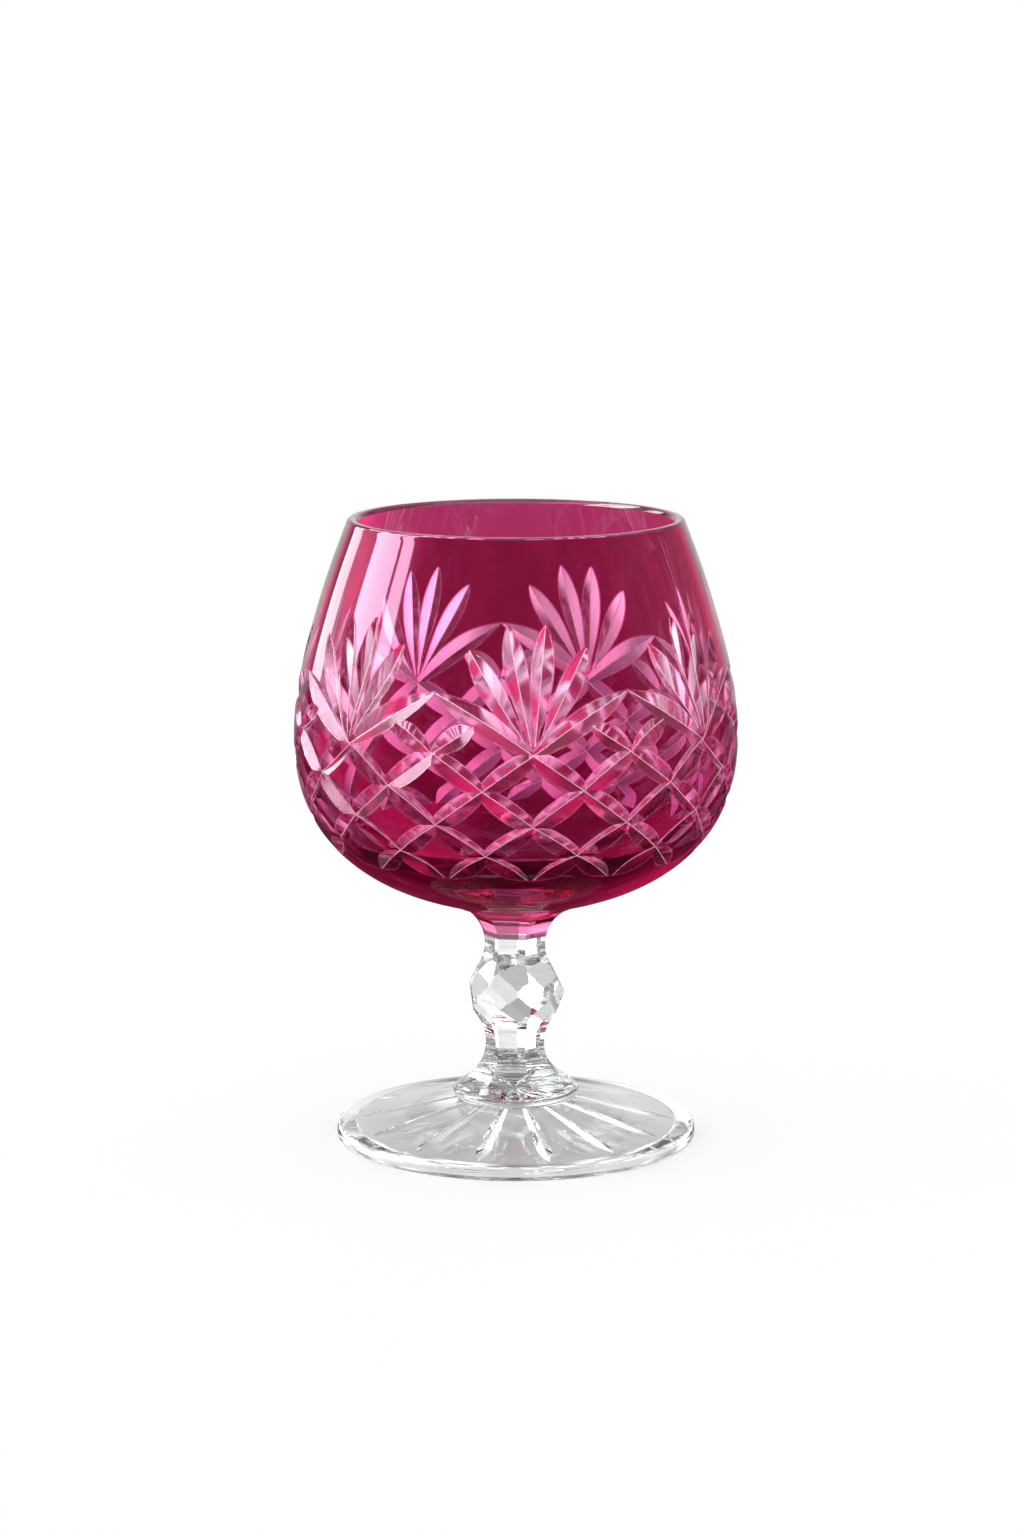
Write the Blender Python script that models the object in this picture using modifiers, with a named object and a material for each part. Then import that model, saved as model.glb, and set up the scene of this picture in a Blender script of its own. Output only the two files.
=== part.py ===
"""Footed cut-glass goblet: a ruby casing over a clear bowl, on a fluted clear stem and a star-cut foot.

Units are metres, +Z is up, and the origin is the centre of the foot's underside.
Angles around the glass are measured from -Y towards +X.
"""

import math

import bmesh
import bpy
import numpy as np

MM = 0.001

# ---------------------------------------------------------------- driving dimensions (mm, degrees)
GAP = 0.3                     # between fused pieces
SEGMENTS = 49                 # around the turned pieces

# Bowl: outside profile as (height, radius), rim to the underside of the bowl
BOWL = [(127.6, 33.8), (118.0, 37.4), (107.0, 40.9), (96.0, 43.7), (85.0, 45.0),
        (74.0, 44.0), (64.0, 39.5), (56.0, 31.1), (51.7, 22.6), (48.65, 12.8)]
RIM_Z = BOWL[0][0]
CASING_RIM, CASING_BODY = 0.9, 1.7      # thickness of the casing at the rim and on the body
WALL_RIM, WALL_BODY, WALL_FLOOR = 2.2, 3.5, 5.4
CAVITY_FLOOR_Z = 53.1

# Neck, where the casing closes onto the stem's head
NECK_END_Z = 42.5
NECK_HOLE_R = 4.9

# Cut pattern
FANS = 7
FAN_STEP = 360.0 / FANS
FAN_ANGLE = 4.3
LEVEL_STEP = FAN_STEP / 4               # a lattice line moves on by this angle at each level
LEVELS = [(-4.0, 60.4), (-3.0, 65.8), (-2.0, 72.3), (-1.0, 79.6), (0.0, 86.8), (1.0, 93.3), (2.0, 98.5), (3.0, 103.0)]
GROOVE_HALF_ANGLE = 64.0
GROOVE_DEPTH = 1.2
GROOVE_WAIST = 0.38                     # share of the depth that is left where two lines cross
BORDER_DEPTH = 1.28                     # the leaves that border the fans are cut a little deeper
LEAF_DEPTH = 1.22
LEAF_TIPS = [(-17.2, 106.9), (-6.6, 111.5), (4.0, 111.7), (15.2, 107.2)]
TURNED_FANS = (2, 3, 4, 5)              # the fans at the back lean the other way

# Stem
FLUTES = 7
FLUTE_ANGLE = 17.5
# Flutes: height of the narrowest place, corner radius there, radius of the cut, and the slope of its straight run onto the knop
UPPER_FLUTE = (40.15, 6.4, 8.3, 0.555)
LOWER_FLUTE = (19.4, 6.2, 9.0, 0.666)
KNOP = [(36.8, 8.2), (35.0, 9.2), (33.4, 9.9), (31.6, 10.2), (28.0, 10.2), (26.5, 9.7), (25.0, 8.9), (23.8, 8.1)]     # blank, as (height, radius)
KNOP_Z, KNOP_FLAT = 29.4, 9.1           # middle of the diamond facets, and their distance from the axis there
KNOP_TILT = -5.0
COLLAR_R, COLLAR_Z = 13.0, 9.2

# Foot
FOOT_R = 36.8
FOOT_EDGE = 2.3
SEAT_R, SEAT_Z = 12.6, 7.6
REST_R = 32.6                           # inside of the ring it stands on
UNDER = [(REST_R, 0.0), (31.9, 0.7), (25.0, 2.0), (15.0, 3.9), (5.0, 5.8), (0.0, 6.1)]     # hollow underside, as (radius, height)
RAYS = 14
RAY_ANGLE = 12.0
RAY_R, RAY_DEPTH = 32.0, 0.85


# ---------------------------------------------------------------- curves
def smooth(points, count):
    """Points on the natural cubic through the given ones, spaced by length."""
    p = np.array(points, float)
    d = np.concatenate([[0.0], np.cumsum(np.hypot(*np.diff(p, axis=0).T))])
    n, h = len(p), np.diff(d)
    a, b = np.eye(n), np.zeros((n, 2))
    for i in range(1, n - 1):
        a[i, i - 1:i + 2] = h[i - 1], 2 * (h[i - 1] + h[i]), h[i]
        b[i] = 6 * ((p[i + 1] - p[i]) / h[i] - (p[i] - p[i - 1]) / h[i - 1])
    m = np.linalg.solve(a, b)
    out = []
    for s in np.linspace(0, d[-1], count):
        i = min(int(np.searchsorted(d, s, side="right")) - 1, n - 2)
        u, v = d[i + 1] - s, s - d[i]
        out.append((m[i] * u ** 3 + m[i + 1] * v ** 3) / (6 * h[i])
                   + (p[i] / h[i] - m[i] * h[i] / 6) * u + (p[i + 1] / h[i] - m[i + 1] * h[i] / 6) * v)
    return np.array(out)


BOWL_FINE = smooth(BOWL, 600)           # (z, r), top to bottom


def bowl_r(z):
    return float(np.interp(z, BOWL_FINE[::-1, 0], BOWL_FINE[::-1, 1]))


def bowl_point(angle, z):
    """A point on the outside of the bowl, and the outward normal there."""
    r, e = bowl_r(z), 0.05
    slope = (bowl_r(z + e) - bowl_r(z - e)) / (2 * e)
    a = math.radians(angle)
    out = np.array([math.sin(a), -math.cos(a), 0.0])
    n = out - slope * np.array([0.0, 0.0, 1.0])
    return out * r + np.array([0.0, 0.0, z]), n / np.linalg.norm(n)


def offset(points, depth):
    """The profile moved inwards by depth(z)."""
    p = np.array(points)
    t = np.gradient(p, axis=0)
    t /= np.linalg.norm(t, axis=1)[:, None]
    n = np.stack([t[:, 1], -t[:, 0]], axis=1)     # (z, r) normal towards the outside
    return p - n * np.array([depth(z) for z in p[:, 0]])[:, None]


def level_z(level):
    return float(np.interp(level, [a for a, _ in LEVELS], [b for _, b in LEVELS]))


def level_z_smooth(level):
    return sum(level_z(level + k) for k in (-0.3, 0.0, 0.3)) / 3


# ---------------------------------------------------------------- building blocks
for old in list(bpy.data.objects):
    bpy.data.objects.remove(old, do_unlink=True)

parts = bpy.data.collections.new("footed_glass")
cutters = bpy.data.collections.new("footed_glass_cutters")
for c in (parts, cutters):
    bpy.context.scene.collection.children.link(c)


def glass(name, colour, roughness):
    m = bpy.data.materials.new(name)
    m.use_nodes = True
    b = m.node_tree.nodes["Principled BSDF"]
    b.inputs["Base Color"].default_value = (*colour, 1.0)
    b.inputs["Roughness"].default_value = roughness
    b.inputs["Metallic"].default_value = 0.0
    b.inputs["Transmission Weight"].default_value = 1.0
    b.inputs["IOR"].default_value = 1.54
    return m


def place(mesh, name, collection):
    ob = bpy.data.objects.new(name, mesh)
    collection.objects.link(ob)
    if collection is cutters:
        ob.hide_render = True
        ob.display_type = "WIRE"
    return ob


def turned(name, profile, closed, collection, steps=SEGMENTS, angle=0.0):
    """A profile of (radius, height) in mm at +X, turned about Z; its outer side runs top to bottom."""
    mesh = bpy.data.meshes.new(name)
    pts = [(r * MM, 0.0, z * MM) for r, z in profile]
    edges = [(i, i + 1) for i in range(len(pts) - 1)] + ([(len(pts) - 1, 0)] if closed else [])
    mesh.from_pydata(pts, edges, [])
    ob = place(mesh, name, collection)
    ob.rotation_euler.z = math.radians(angle - 90.0)
    s = ob.modifiers.new("turn", "SCREW")
    s.axis = "Z"
    s.angle = 2 * math.pi
    s.steps = s.render_steps = steps
    s.use_merge_vertices = True
    s.merge_threshold = 0.00001
    s.use_smooth_shade = steps == SEGMENTS
    return ob


def cut(ob, cutter, solver="EXACT"):
    m = ob.modifiers.new("cut_" + cutter.name, "BOOLEAN")
    m.operation = "DIFFERENCE"
    m.solver = solver
    m.object = cutter


HALF_WIDTH = math.tan(math.radians(GROOVE_HALF_ANGLE))
CLEAR = 0.7                   # how far a cutter stands above the surface


def grooves(name, paths):
    """V-edged cutters: a triangle extruded from station to station. A station is (point, normal, depth) in mm."""
    bm = bmesh.new()
    for path in paths:
        pos = np.array([p for p, _, _ in path])
        along = np.gradient(pos, axis=0)
        sections = []
        for (p, n, depth), t in zip(path, along):
            side = np.cross(n, t / np.linalg.norm(t))
            w = (depth + CLEAR) * HALF_WIDTH
            sections.append([(p - depth * n) * MM, (p + CLEAR * n + w * side) * MM, (p + CLEAR * n - w * side) * MM])
        face = bm.faces.new([bm.verts.new(v) for v in sections[0]])
        for i, section in enumerate(sections[1:]):
            made = bmesh.ops.extrude_face_region(bm, geom=[face])
            end = next(g for g in made["geom"] if isinstance(g, bmesh.types.BMFace))
            if i and face.is_valid:
                bmesh.ops.delete(bm, geom=[face], context="FACES_ONLY")
            face = end
            for loop, v in zip(face.loops, section):
                loop.vert.co = v
    bmesh.ops.recalc_face_normals(bm, faces=bm.faces)
    mesh = bpy.data.meshes.new(name)
    bm.to_mesh(mesh)
    bm.free()
    return place(mesh, name, cutters)


def taper(x):
    """0 at the end of a cut, 1 where it is at its full depth."""
    return math.sin(0.5 * math.pi * max(0.0, min(1.0, x)))


# ---------------------------------------------------------------- bowl: cut pattern
def lattice_line(column, hand):
    """One line across the bowl: column is the half step it crosses level 0 at, hand is +1 down to the right.

    It is cut as one lens between each two crossings, and every second line ends in a leaf beside a fan.
    """
    border = column % 2 == 0
    top, bottom = (2.06 if border else 1.0), -4.0
    full = GROOVE_WAIST * GROOVE_DEPTH
    path = []
    for level in ([top, 1.6, 1.1] if border else [top, 0.8]) + list(np.arange(0.5, bottom - 0.1, -0.5)):
        angle = FAN_ANGLE + 2 * LEVEL_STEP * column - hand * LEVEL_STEP * level
        p, n = bowl_point(angle, level_z_smooth(level))
        lens = abs(math.sin(math.pi * level)) ** 0.55
        depth = full + (GROOVE_DEPTH - full) * lens
        if border and level > 0:
            t = level / top
            depth = (full + (BORDER_DEPTH - full) * taper(t / 0.45)) * taper((1.0 - t) / 0.5)
        elif level > 0:
            depth = GROOVE_DEPTH * max(GROOVE_WAIST, lens) * taper((top - level) / 0.55)
        path.append((p, n, depth * taper((level - bottom) / 0.55) - 0.08))
    return path


def leaf(fan, tip):
    """One leaf of a fan: narrow at the fan's foot on the lattice, broadest towards its pointed tip."""
    angle_tip, z_tip = tip
    if fan in TURNED_FANS:
        angle_tip = -angle_tip
    z_base = level_z(0.0) + 0.8
    path = []
    for t in np.linspace(0.0, 1.0, 8):
        z = z_base + (z_tip - z_base) * t
        p, n = bowl_point(FAN_ANGLE + FAN_STEP * fan + angle_tip * (0.04 + 0.96 * t), z)
        blade = max(math.sin(math.pi * t ** 1.55), 0.0) ** 0.72
        path.append((p, n, LEAF_DEPTH * max(blade, 0.25 * taper(t / 0.12) * taper((1.0 - t) / 0.5)) - 0.08))
    return path


lattice_cuts = [grooves("lattice_cut_" + side, [lattice_line(c, hand) for c in range(2 * FANS)])
                for side, hand in (("right", 1), ("left", -1))]
leaf_cuts = [grooves(f"leaf_cut_{i + 1}", [leaf(f, tip) for f in range(FANS)]) for i, tip in enumerate(LEAF_TIPS)]

# ---------------------------------------------------------------- stem and neck: flutes and knop facets
def flute_ring(name, dims, side, z_far, z_knop):
    """A ring with seven flat inner sides, hollow along the stem as a round-edged wheel leaves them, then straight onto the knop.

    side is -1 where the knop is below the flutes and +1 where it is above them.
    """
    z0, corner, radius, slope = dims
    run = math.degrees(math.atan(slope))
    far = math.degrees(math.asin((z_far - z0) / radius))
    inner = []
    for a in np.linspace(far, side * run, 15):
        inner.append((corner + radius * (1 - math.cos(math.radians(a))), z0 + radius * math.sin(math.radians(a))))
    r_join, z_join = inner[-1]
    inner.append((r_join + slope * abs(z_knop - z_join), z_knop))
    if side < 0:
        inner.reverse()
    outer = [(24.0, inner[-1][1]), (24.0, inner[0][1])]
    return turned(name, outer + inner, True, cutters, FLUTES, FLUTE_ANGLE)


upper_flutes = flute_ring("upper_flute_cut", UPPER_FLUTE, -1, 48.2, 28.6)
lower_flutes = flute_ring("lower_flute_cut", LOWER_FLUTE, 1, 10.6, 30.3)


def diamond_cut(i):
    """A block whose inner face lies on one diamond facet of the knop, between two flutes."""
    bm = bmesh.new()
    bmesh.ops.create_cube(bm, size=1.0)
    bmesh.ops.scale(bm, vec=(14 * MM, 6 * MM, 14 * MM), verts=bm.verts)
    mesh = bpy.data.meshes.new(f"knop_cut_{i + 1}")
    bm.to_mesh(mesh)
    bm.free()
    ob = place(mesh, mesh.name, cutters)
    a, t = math.radians(FLUTE_ANGLE + i * 360.0 / FLUTES), math.radians(KNOP_TILT)
    r, z = KNOP_FLAT + 3.0 * math.cos(t), KNOP_Z + 3.0 * math.sin(t)
    ob.location = (r * MM * math.sin(a), -r * MM * math.cos(a), z * MM)
    ob.rotation_euler = (-t, 0.0, a)
    return ob


knop_cuts = [diamond_cut(i) for i in range(FLUTES)]


# ---------------------------------------------------------------- bowl pieces
def casing_depth(z):
    return CASING_RIM + (CASING_BODY - CASING_RIM) * taper((RIM_Z - z) / 16.0)


def wall_depth(z):
    body = WALL_RIM + (WALL_BODY - WALL_RIM) * taper((RIM_Z - z) / 40.0)
    return body + (WALL_FLOOR - WALL_BODY) * taper((64.0 - z) / 16.0)


outer = smooth(BOWL, 13)
casing_in = offset(outer, casing_depth)
lining_out = offset(outer, lambda z: casing_depth(z) + GAP)
cavity = offset(outer, wall_depth)
for p in (casing_in, lining_out, cavity):
    p[0, 0] = RIM_Z
FLOOR_Z = float(casing_in[-1, 0])       # inside of the casing, round the hole in its neck


def neck_blank(z):
    z0, corner, radius, _ = UPPER_FLUTE
    return corner + radius - math.sqrt(max(radius ** 2 - (z - z0) ** 2, 0.0)) + 0.35


neck = [(neck_blank(z), z) for z in (47.4, 46.4, 45.2, 44.0, NECK_END_Z)]
casing_profile = ([(r, z) for z, r in outer] + neck
                  + [(NECK_HOLE_R, NECK_END_Z), (NECK_HOLE_R, FLOOR_Z)]
                  + [(r, z) for z, r in casing_in[::-1]])
casing = turned("bowl_casing", casing_profile, True, parts)
cut(casing, upper_flutes)
for c in (*lattice_cuts, *leaf_cuts):
    cut(casing, c, "MANIFOLD")          # many cuts meet at a fan's foot

lining_floor = float(lining_out[-1, 0])
rim_mid = 0.5 * (cavity[0, 1] + lining_out[0, 1])
lining_profile = ([(0.0, CAVITY_FLOOR_Z), (5.0, CAVITY_FLOOR_Z + 0.1)] + [(r, z) for z, r in cavity[:0:-1]]
                  + [(cavity[0, 1], RIM_Z - 0.35), (cavity[0, 1] + 0.3, RIM_Z), (lining_out[0, 1] - 0.15, RIM_Z)]
                  + [(lining_out[0, 1], RIM_Z - 0.15)] + [(r, z) for z, r in lining_out[1:]]
                  + [(5.2, lining_floor), (0.0, lining_floor)])
lining = turned("bowl_lining", lining_profile, False, parts)

# ---------------------------------------------------------------- stem
head_r, head_z = NECK_HOLE_R - GAP, lining_floor - GAP
shoulder_z = NECK_END_Z - GAP
stem_profile = [(0.0, head_z), (head_r, head_z), (head_r, shoulder_z), (neck_blank(shoulder_z), shoulder_z),
                (6.9, 40.2), (7.2, 38.4), *[(r, z) for z, r in KNOP], (7.3, 22.4), (6.8, 19.4), (7.4, 16.0), (9.0, 13.4), (11.0, 11.3), (12.3, 10.35),
                (COLLAR_R - 0.15, COLLAR_Z + 0.55), (COLLAR_R, COLLAR_Z), (COLLAR_R - 0.25, COLLAR_Z - 0.6),
                (SEAT_R - GAP, SEAT_Z + GAP + 0.35), (SEAT_R - GAP, SEAT_Z + GAP), (0.0, SEAT_Z + GAP)]
stem = turned("stem", stem_profile, False, parts)
for c in (upper_flutes, lower_flutes, *knop_cuts):
    cut(stem, c)

# ---------------------------------------------------------------- foot
top = smooth([(8.25, SEAT_R), (6.9, 18.5), (4.7, 27.0), (2.75, 35.6)], 7)
foot_profile = ([(0.0, SEAT_Z), (SEAT_R, SEAT_Z)] + [(r, z) for z, r in top]
                + [(FOOT_R - 0.4, FOOT_EDGE - 0.05), (FOOT_R, FOOT_EDGE - 0.75), (FOOT_R - 0.1, 0.85), (FOOT_R - 0.7, 0.0)] + UNDER)
foot = turned("foot", foot_profile, False, parts)


def ray(i):
    """One ray of the star under the foot, from near the centre to its outer point."""
    a = math.radians(RAY_ANGLE + i * 360.0 / RAYS)
    out = np.array([math.sin(a), -math.cos(a), 0.0])
    path = []
    for t in np.linspace(0.0, 1.0, 8):
        r = 1.0 + (RAY_R - 1.0) * t
        z = float(np.interp(r, [a for a, _ in UNDER[::-1]], [b for _, b in UNDER[::-1]]))
        depth = RAY_DEPTH * t ** 0.6 * taper((1.0 - t) / 0.2)
        path.append((out * r + np.array([0.0, 0.0, z]), np.array([0.0, 0.0, -1.0]), depth - 0.06))
    return path


for k in (0, 1):
    cut(foot, grooves(f"ray_cut_{k + 1}", [ray(i) for i in range(k, RAYS, 2)]))

# ---------------------------------------------------------------- glass and grouping
base = bpy.data.objects.new("footed_glass_base", None)
parts.objects.link(base)
for ob, mat in ((casing, glass("ruby_glass", (0.42, 0.01, 0.10), 0.02)), (lining, glass("bowl_crystal", (0.96, 0.96, 0.96), 0.02)),
                (stem, glass("stem_crystal", (0.94, 0.95, 0.95), 0.02)), (foot, glass("foot_crystal", (0.94, 0.95, 0.95), 0.02))):
    ob.data.materials.append(mat)
    ob.parent = base
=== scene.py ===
"""Looks of the footed cut-glass goblet: cased and cut bowl, fluted stem, star-cut foot, plain white studio."""

import math

import bmesh
import bpy
import numpy as np
from mathutils import Matrix


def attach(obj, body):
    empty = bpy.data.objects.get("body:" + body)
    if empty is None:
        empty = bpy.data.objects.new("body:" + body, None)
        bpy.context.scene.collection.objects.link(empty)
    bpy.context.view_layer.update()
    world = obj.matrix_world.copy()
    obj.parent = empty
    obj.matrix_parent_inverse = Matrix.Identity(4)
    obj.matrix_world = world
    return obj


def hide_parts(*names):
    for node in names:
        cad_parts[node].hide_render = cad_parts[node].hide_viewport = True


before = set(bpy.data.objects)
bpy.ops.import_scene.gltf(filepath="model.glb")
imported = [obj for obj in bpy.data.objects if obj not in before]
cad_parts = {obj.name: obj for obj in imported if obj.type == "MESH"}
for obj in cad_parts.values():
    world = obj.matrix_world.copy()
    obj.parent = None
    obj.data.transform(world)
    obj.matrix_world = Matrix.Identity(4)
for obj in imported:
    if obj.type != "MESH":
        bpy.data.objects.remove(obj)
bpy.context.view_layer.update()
scene = bpy.context.scene

MM = 0.001
# ------------------------------------------------------------------ dimensions (mm, degrees), as in the CAD model
BOWL = [(127.6, 33.8), (118.0, 37.4), (107.0, 40.9), (96.0, 43.7), (85.0, 45.0),
        (74.0, 44.0), (64.0, 39.5), (56.0, 31.1), (51.7, 22.6), (48.65, 12.8)]
RIM_Z = 127.6
WALL_RIM, WALL_BODY, WALL_FLOOR = 2.2, 3.5, 5.4
CAVITY_FLOOR_Z = 53.1
CASING = 0.14                 # colour layer on the glass itself
JOIN = 0.012                  # between fused pieces
NECK_END_Z = 41.9             # the colour ends 0.6 lower than the CAD's
UNDERSIDE_Z = 62.0            # below this the bowl faces the foot
FANS = 7
FAN_STEP = 360.0 / FANS
FAN_ANGLE = 4.3
LEVEL_STEP = FAN_STEP / 4
LEVELS = [(-5.0, 56.6), (-4.0, 60.4), (-3.0, 65.8), (-2.0, 72.3), (-1.0, 79.6), (0.0, 86.8), (1.0, 93.3), (2.0, 98.5), (3.0, 103.0)]
GROOVE_HALF_ANGLE = 64.0
GROOVE_DEPTH, BORDER_DEPTH, LEAF_DEPTH = 1.20, 1.28, 1.22
GROOVE_WAIST = 0.38           # depth left where two lines cross
GROOVE_TIP = 0.20             # radius left at the bottom of a cut
LEAF_TIPS = [(-17.2, 106.9), (-6.6, 111.5), (4.0, 111.7), (15.2, 107.2)]
TURNED_FANS = (2, 3, 4, 5)    # the fans at the back lean the other way
FLUTES = 7
FLUTE_ANGLE = 17.5
# height of the narrowest place, corner radius there, radius of the cut, slope of its straight run onto the knop
UPPER_FLUTE = (40.15, 6.4, 8.3, 0.555)
LOWER_FLUTE = (19.4, 6.2, 9.0, 0.666)
KNOP = [(36.8, 8.2), (35.0, 9.2), (33.4, 9.9), (31.6, 10.2), (28.0, 10.2), (26.5, 9.7), (25.0, 8.9), (23.8, 8.1)]
KNOP_Z, KNOP_FLAT, KNOP_TILT = 29.4, 9.1, -5.0          # the diamond facets between the flutes
COLLAR_R, COLLAR_Z = 13.0, 9.2
FOOT_R, FOOT_EDGE = 36.8, 2.3
SEAT_R, SEAT_Z = 12.6, 7.6
REST_R = 32.6
UNDER = [(0.0, REST_R), (0.7, 32.35), (2.0, 25.0), (3.9, 15.0), (5.8, 5.0), (6.1, 0.0)]
RAYS, RAY_ANGLE, RAY_R, RAY_DEPTH = 14, 12.0, 32.0, 0.85
N_BOWL, N_STEM, N_FOOT = 280, 210, 280


# ------------------------------------------------------------------ curves
def smooth(points, count):
    """Points on the natural cubic through the given ones, spaced by length."""
    p = np.array(points, float)
    d = np.concatenate([[0.0], np.cumsum(np.hypot(*np.diff(p, axis=0).T))])
    n, h = len(p), np.diff(d)
    a, b = np.eye(n), np.zeros((n, 2))
    for i in range(1, n - 1):
        a[i, i - 1:i + 2] = h[i - 1], 2 * (h[i - 1] + h[i]), h[i]
        b[i] = 6 * ((p[i + 1] - p[i]) / h[i] - (p[i] - p[i - 1]) / h[i - 1])
    m = np.linalg.solve(a, b)
    s = np.linspace(0, d[-1], count)
    i = np.clip(np.searchsorted(d, s, side="right") - 1, 0, n - 2)
    u, v, hh = (d[i + 1] - s)[:, None], (s - d[i])[:, None], h[i][:, None]
    return (m[i] * u ** 3 + m[i + 1] * v ** 3) / (6 * hh) + (p[i] / hh - m[i] * hh / 6) * u + (p[i + 1] / hh - m[i + 1] * hh / 6) * v


OUTER = smooth(BOWL, 900)               # (z, r), top to bottom
LEVEL_CURVE = smooth(LEVELS, 400)


def taper(x):
    return np.sin(0.5 * np.pi * np.clip(x, 0.0, 1.0))


def level_z(level):
    return np.interp(level, LEVEL_CURVE[:, 0], LEVEL_CURVE[:, 1])


def bowl_r(z):
    return np.interp(z, OUTER[::-1, 0], OUTER[::-1, 1])


def bowl_points(angle, z):
    """Points on the outside of the bowl, and the outward normals there."""
    a, e = np.radians(angle), 0.05
    slope = (bowl_r(z + e) - bowl_r(z - e)) / (2 * e)
    out = np.stack([np.sin(a), -np.cos(a), np.zeros_like(a)], axis=1)
    n = out - slope[:, None] * np.array([0.0, 0.0, 1.0])
    p = out * bowl_r(z)[:, None] + np.stack([0 * z, 0 * z, z], axis=1)
    return p, n / np.linalg.norm(n, axis=1)[:, None]


def offset(profile, depth):
    """A (z, r) profile moved inwards by depth(z)."""
    p = np.array(profile)
    t = np.gradient(p, axis=0)
    t /= np.linalg.norm(t, axis=1)[:, None]
    n = np.stack([t[:, 1], -t[:, 0]], axis=1)
    return p - n * depth(p[:, 0])[:, None]


def wall_depth(z):
    body = WALL_RIM + (WALL_BODY - WALL_RIM) * taper((RIM_Z - z) / 40.0)
    return body + (WALL_FLOOR - WALL_BODY) * taper((64.0 - z) / 16.0)


def rz(points, step=1):
    """(z, r) rows as (r, z) rows."""
    return [(float(r), float(z)) for z, r in points[::step]]


# ------------------------------------------------------------------ meshes
def mesh_object(name, verts, faces, tags=None):
    mesh = bpy.data.meshes.new(name)
    mesh.from_pydata(verts, [], faces)
    if tags is not None:
        mesh.polygons.foreach_set("material_index", np.array(tags, np.int32))
    bm = bmesh.new()
    bm.from_mesh(mesh)
    bmesh.ops.recalc_face_normals(bm, faces=bm.faces)
    bm.to_mesh(mesh)
    bm.free()
    ob = bpy.data.objects.new(name, mesh)
    scene.collection.objects.link(ob)
    return ob


def turned(name, profile, tags, n, closed=False, angle=0.0):
    """A profile of (r, z) in mm turned about Z; tags has one number for each step of the profile."""
    m = len(profile)
    a = np.radians(angle) + 2 * np.pi * np.arange(n) / n
    s, c = np.sin(a), -np.cos(a)
    verts, ids = [], []
    for r, z in profile:
        if r < 1e-9:
            ids.append([len(verts)] * n)
            verts.append((0.0, 0.0, z * MM))
        else:
            ids.append(list(range(len(verts), len(verts) + n)))
            verts += [(r * x * MM, r * y * MM, z * MM) for x, y in zip(s, c)]
    faces, face_tags = [], []
    for i in range(m if closed else m - 1):
        p, q = ids[i], ids[(i + 1) % m]
        for j in range(n):
            k = (j + 1) % n
            f = [p[j], p[k], q[k], q[j]]
            f = [v for x, v in enumerate(f) if v not in f[:x]]
            if len(f) > 2:
                faces.append(f)
                face_tags.append(tags[i])
    return mesh_object(name, verts, faces, face_tags)


TAN = math.tan(math.radians(GROOVE_HALF_ANGLE))


def grooves(name, paths, tag, line_tag, clear=0.7, tip=GROOVE_TIP):
    """Cutters with a V section and a slightly round tip, swept along paths of (points, normals, depths)."""
    turn_by = math.radians(90.0 - GROOVE_HALF_ANGLE)
    arc = [(tip * math.sin(f), tip / math.sin(math.radians(GROOVE_HALF_ANGLE)) - tip * math.cos(f)) for f in np.linspace(-turn_by, turn_by, 5)]
    low = tip * (1 / math.sin(math.radians(GROOVE_HALF_ANGLE)) - 1)
    verts, faces, tags = [], [], []
    for pos, nor, depth in paths:
        along = np.gradient(pos, axis=0)
        along /= np.linalg.norm(along, axis=1)[:, None]
        side = np.cross(nor, along)
        side /= np.linalg.norm(side, axis=1)[:, None]
        rings = []
        for p, n, b, d in zip(pos, nor, side, depth):
            apex = d + low
            sec = [(-(apex + clear) * TAN, clear)] + [(x, y - apex) for x, y in arc] + [((apex + clear) * TAN, clear)]
            rings.append(list(range(len(verts), len(verts) + len(sec))))
            verts += [tuple((p + x * b + y * n) * MM) for x, y in sec]
        k = len(rings[0])
        for r0, r1 in zip(rings, rings[1:]):
            faces += [(r0[i], r0[(i + 1) % k], r1[(i + 1) % k], r1[i]) for i in range(k)]
            tags += [line_tag if 1 <= i < k - 2 else tag for i in range(k)]
        faces += [rings[0][::-1], rings[-1]]
        tags += [tag, tag]
    return mesh_object(name, verts, faces, tags)


def carve(ob, cutters, solver="MANIFOLD"):
    """Takes the cutters out of ob and keeps the result as its mesh; the cutters themselves stay."""
    slots = 1 + max([int(p.material_index) for c in [ob, *cutters] for p in c.data.polygons])
    for o in (ob, *cutters):
        while len(o.data.materials) < slots:
            o.data.materials.append(BLANKS[len(o.data.materials)])
    for c in cutters:
        m = ob.modifiers.new("cut", "BOOLEAN")
        m.operation, m.solver, m.object = "DIFFERENCE", solver, c
    bpy.context.view_layer.update()
    dg = bpy.context.evaluated_depsgraph_get()
    made = bpy.data.meshes.new_from_object(ob.evaluated_get(dg), depsgraph=dg)
    ob.modifiers.clear()
    old = ob.data
    ob.data = made
    made.name = ob.name
    bpy.data.meshes.remove(old)


def discard(obs):
    for o in obs:
        me = o.data
        bpy.data.objects.remove(o)
        bpy.data.meshes.remove(me)


BLANKS = [bpy.data.materials.new(f"blank_{i}") for i in range(6)]


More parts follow.
